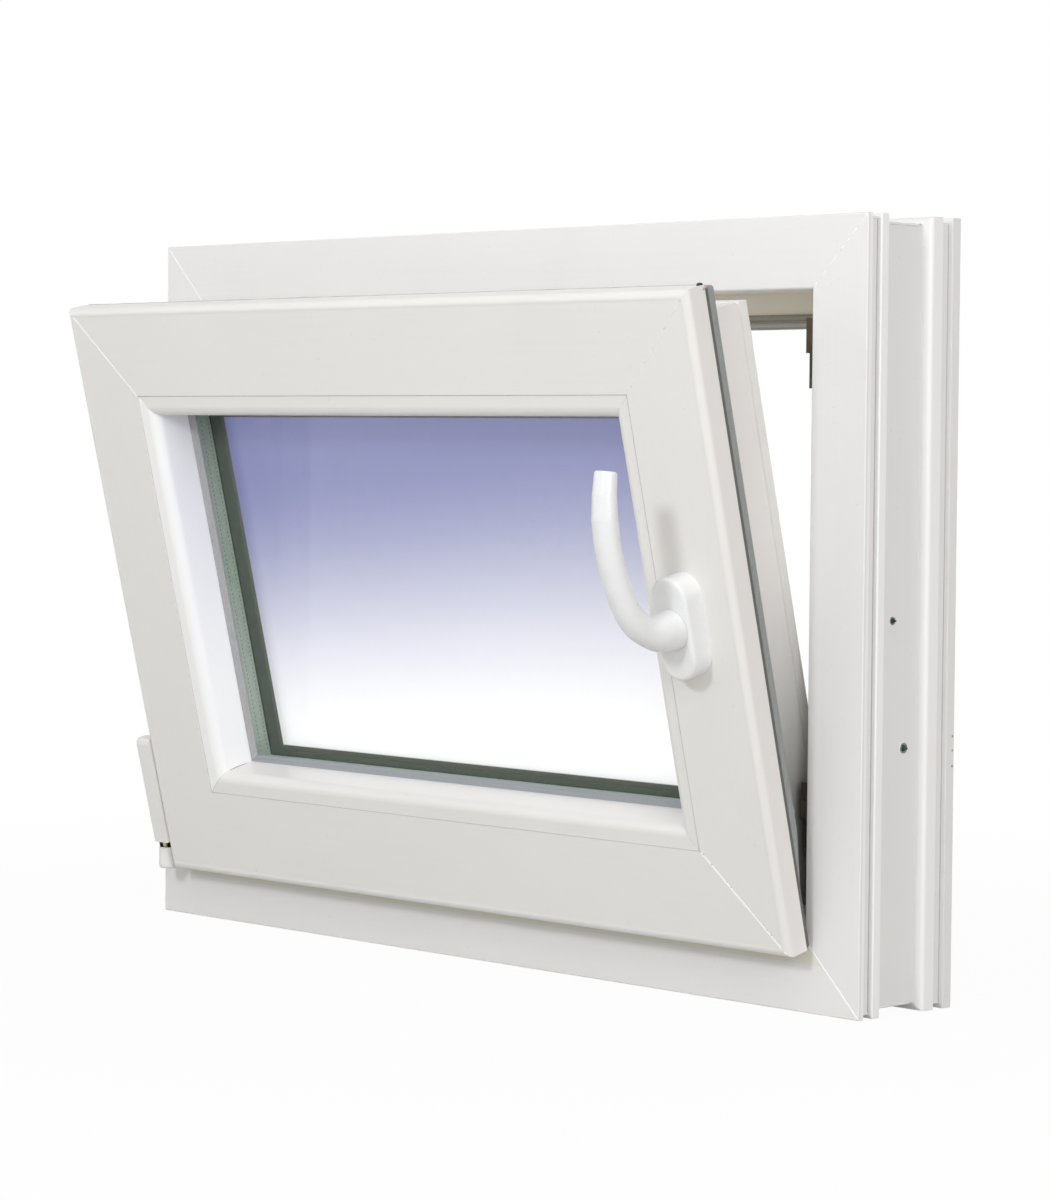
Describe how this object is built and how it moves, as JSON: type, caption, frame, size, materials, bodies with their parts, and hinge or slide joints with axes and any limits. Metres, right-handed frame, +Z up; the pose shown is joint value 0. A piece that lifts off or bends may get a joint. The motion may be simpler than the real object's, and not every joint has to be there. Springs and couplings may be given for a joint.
{
  "type": "tilt and turn window",
  "caption": "White uPVC tilt and turn window, its double-glazed sash tilted into the room, with a curved lever handle, hinges, stay and seals.",
  "frame": {"origin": "middle of the sill's underside, on the flat of the rib nearest the room", "axes": "+X towards the lock side, seen from the room; +Y towards the outside; +Z up"},
  "size_m": [0.7, 0.2423, 0.5],
  "materials": {
    "frame_upvc": "satin white extrusion",
    "sash_upvc": "satin white extrusion",
    "bead_upvc": "satin white extrusion",
    "seal_grey": "matt",
    "glazing_seal": "matt",
    "pane_glass": "clear float",
    "spacer_metal": "mill",
    "handle_white": "satin powder coat",
    "hinge_cover_white": "satin",
    "fitting_steel": "zinc plated",
    "pin_brass": "yellow passivated"
  },
  "bodies": {
    "window": {"bead_seal_bottom": "glazing_seal", "bead_seal_hinge_side": "glazing_seal", "bead_seal_lock_side": "glazing_seal", "bead_seal_top": "glazing_seal", "frame_head": "frame_upvc", "frame_hinge_jamb": "frame_upvc", "frame_lock_jamb": "frame_upvc", "frame_sill": "frame_upvc", "glass_spacer": "spacer_metal", "glazing_bead_bottom": "bead_upvc", "glazing_bead_hinge_side": "bead_upvc", "glazing_bead_lock_side": "bead_upvc", "glazing_bead_top": "bead_upvc", "handle_rosette": "handle_white", "inner_pane": "pane_glass", "lock_cams": "fitting_steel", "lock_faceplate": "fitting_steel", "lock_strikers": "fitting_steel", "lower_bearing": "hinge_cover_white", "lower_hinge_cover": "hinge_cover_white", "lower_pin": "pin_brass", "outer_glazing_seal_bottom": "glazing_seal", "outer_glazing_seal_hinge_side": "glazing_seal", "outer_glazing_seal_lock_side": "glazing_seal", "outer_glazing_seal_top": "glazing_seal", "outer_pane": "pane_glass", "sash_bottom_rail": "sash_upvc", "sash_hinge_stile": "sash_upvc", "sash_lock_stile": "sash_upvc", "sash_seal_bottom": "seal_grey", "sash_seal_hinge_side": "seal_grey", "sash_seal_lock_side": "seal_grey", "sash_seal_top": "seal_grey", "sash_top_rail": "sash_upvc", "stay_arm": "fitting_steel", "stay_faceplate": "fitting_steel", "stay_stud": "fitting_steel", "stop_seal_head": "seal_grey", "stop_seal_hinge_side": "seal_grey", "stop_seal_lock_side": "seal_grey", "stop_seal_sill": "seal_grey", "upper_bearing": "hinge_cover_white", "upper_pin": "fitting_steel"},
    "handle": {"handle_lever": "handle_white", "handle_spindle": "fitting_steel"}
  },
  "joints": [
    {"name": "handle_turn", "type": "hinge", "parent": "window", "child": "handle", "pos_m": [0.271, -0.10447, 0.24194], "axis": [0, -0.9724, -0.2334], "range_deg": [0, 180]}
  ]
}
